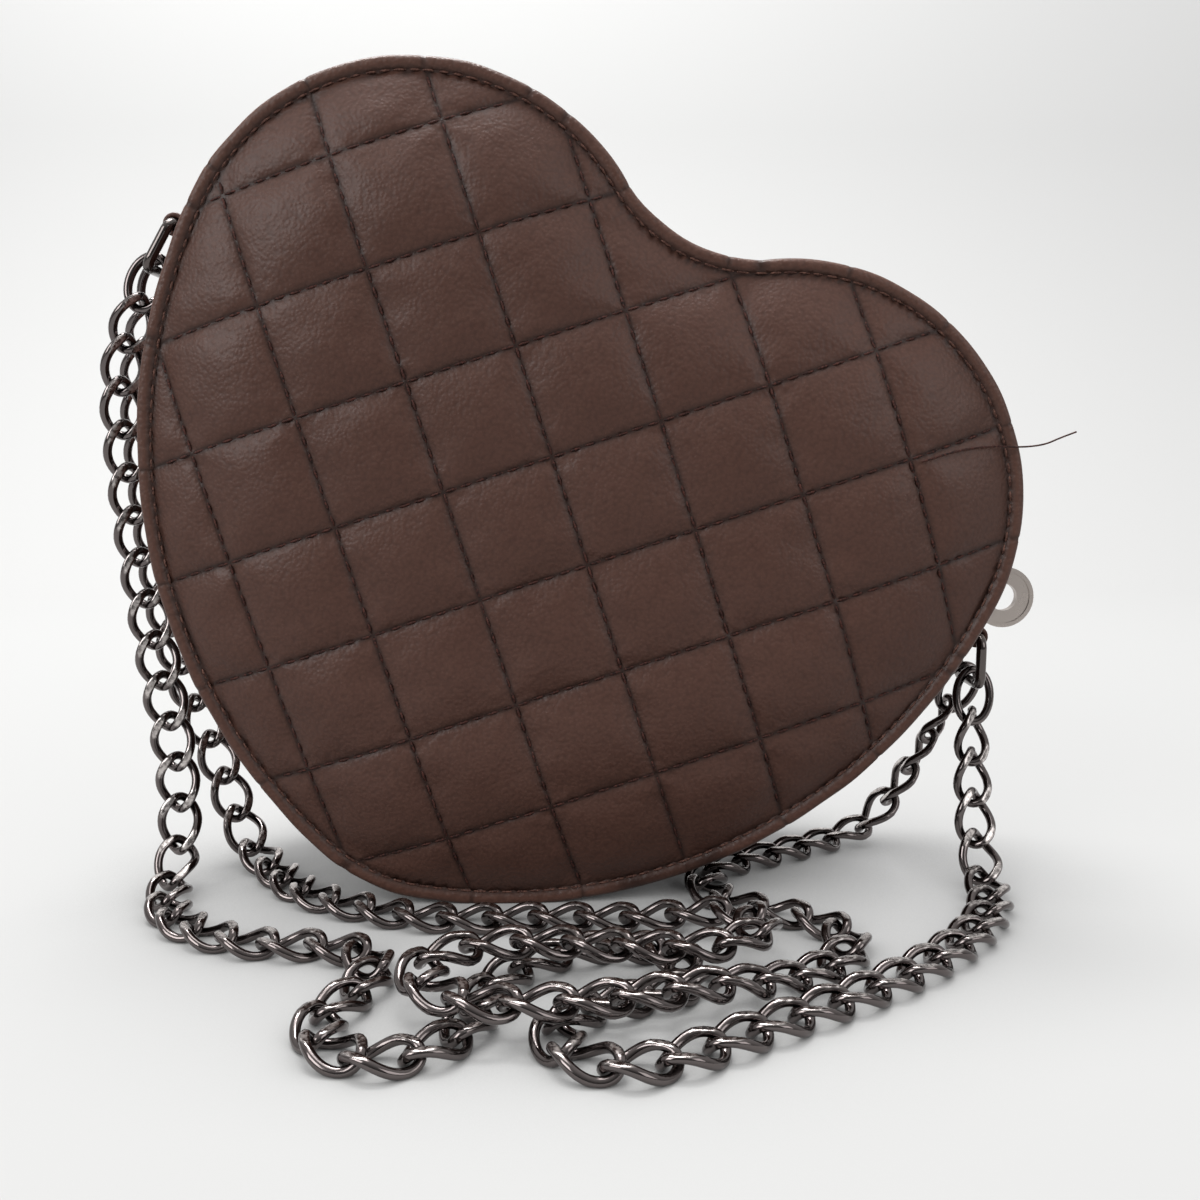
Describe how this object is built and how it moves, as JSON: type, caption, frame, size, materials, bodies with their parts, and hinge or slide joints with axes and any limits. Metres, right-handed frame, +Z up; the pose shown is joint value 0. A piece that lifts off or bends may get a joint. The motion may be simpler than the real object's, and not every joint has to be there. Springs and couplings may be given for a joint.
{
  "type": "heart-shaped quilted purse",
  "caption": "Heart-shaped quilted leather shoulder purse with bound seams, a zip over its top edge, a ring-and-disc zip pull and a double curb-chain strap laid in front of it.",
  "frame": {"origin": "on the floor under the middle of the bag's own box, without the chain strap", "axes": "+Z up with the bag standing on its lower left flank as pictured, +X to the right in the heart's plane, +Y through the bag from its front panel to its back panel"},
  "size_m": [0.2203, 0.1445, 0.1823],
  "materials": {
    "panel_leather": "satin, fine grain",
    "binding_leather": "satin",
    "gusset_leather": "satin",
    "tab_leather": "satin",
    "padding_foam": "matte foam",
    "stiffening_board": "matte",
    "lining_cloth": "matte woven",
    "zip_tape_cloth": "matte woven",
    "zip_metal": "dark plated",
    "hardware_metal": "gunmetal plated",
    "chain_metal": "gunmetal plated",
    "disc_metal": "nickel, worn"
  },
  "bodies": {
    "bag": {"front_panel_leather": "panel_leather", "front_panel_foam": "padding_foam", "front_panel_board": "stiffening_board", "front_panel_lining": "lining_cloth", "front_binding": "binding_leather", "back_panel_leather": "panel_leather", "back_panel_foam": "padding_foam", "back_panel_board": "stiffening_board", "back_panel_lining": "lining_cloth", "back_binding": "binding_leather", "lower_gusset": "gusset_leather", "zip_gusset_front": "gusset_leather", "zip_gusset_back": "gusset_leather", "lower_gusset_lining": "lining_cloth", "zip_tape_front": "zip_tape_cloth", "zip_tape_back": "zip_tape_cloth", "zip_lining_front": "lining_cloth", "zip_lining_back": "lining_cloth", "zip_teeth_front": "zip_metal", "zip_teeth_back": "zip_metal", "zip_end_stop": "zip_metal", "zip_top_stops": "zip_metal", "left_strap_tab": "tab_leather", "right_strap_tab": "tab_leather", "front_chain_left_drop": "chain_metal", "front_chain_floor": "chain_metal", "front_chain_right_drop": "chain_metal", "rear_chain_left_drop": "chain_metal", "rear_chain_floor": "chain_metal", "rear_chain_right_drop": "chain_metal"},
    "slider": {"zip_slider": "hardware_metal", "slider_arch": "hardware_metal"},
    "zip_pull_link": {"pull_link": "hardware_metal"},
    "zip_pull_disc": {"pull_disc": "disc_metal"},
    "left_ring": {"left_strap_ring": "hardware_metal"},
    "right_ring": {"right_strap_ring": "hardware_metal"}
  },
  "joints": [
    {"name": "zip_travel", "type": "hinge", "parent": "bag", "child": "slider", "pos_m": [0.03842, 0, 0.0894], "axis": [0, -1, 0], "range_deg": [0, 85], "deforming": ["zip_teeth_front", "zip_teeth_back"]},
    {"name": "pull_link_swing", "type": "hinge", "parent": "slider", "child": "zip_pull_link", "pos_m": [0.08754, 0, 0.07624], "axis": [0, -1, 0], "range_deg": [0, 100]},
    {"name": "pull_disc_swing", "type": "hinge", "parent": "zip_pull_link", "child": "zip_pull_disc", "pos_m": [0.0957, 0, 0.06717], "axis": [0, -1, 0], "range_deg": [-25, 25]},
    {"name": "left_ring_swing", "type": "hinge", "parent": "bag", "child": "left_ring", "pos_m": [-0.09751, 0, 0.15193], "axis": [0, -1, 0], "range_deg": [-4, 4]},
    {"name": "right_ring_swing", "type": "hinge", "parent": "bag", "child": "right_ring", "pos_m": [0.0896, 0, 0.05659], "axis": [0, -1, 0], "range_deg": [-4, 4]}
  ]
}
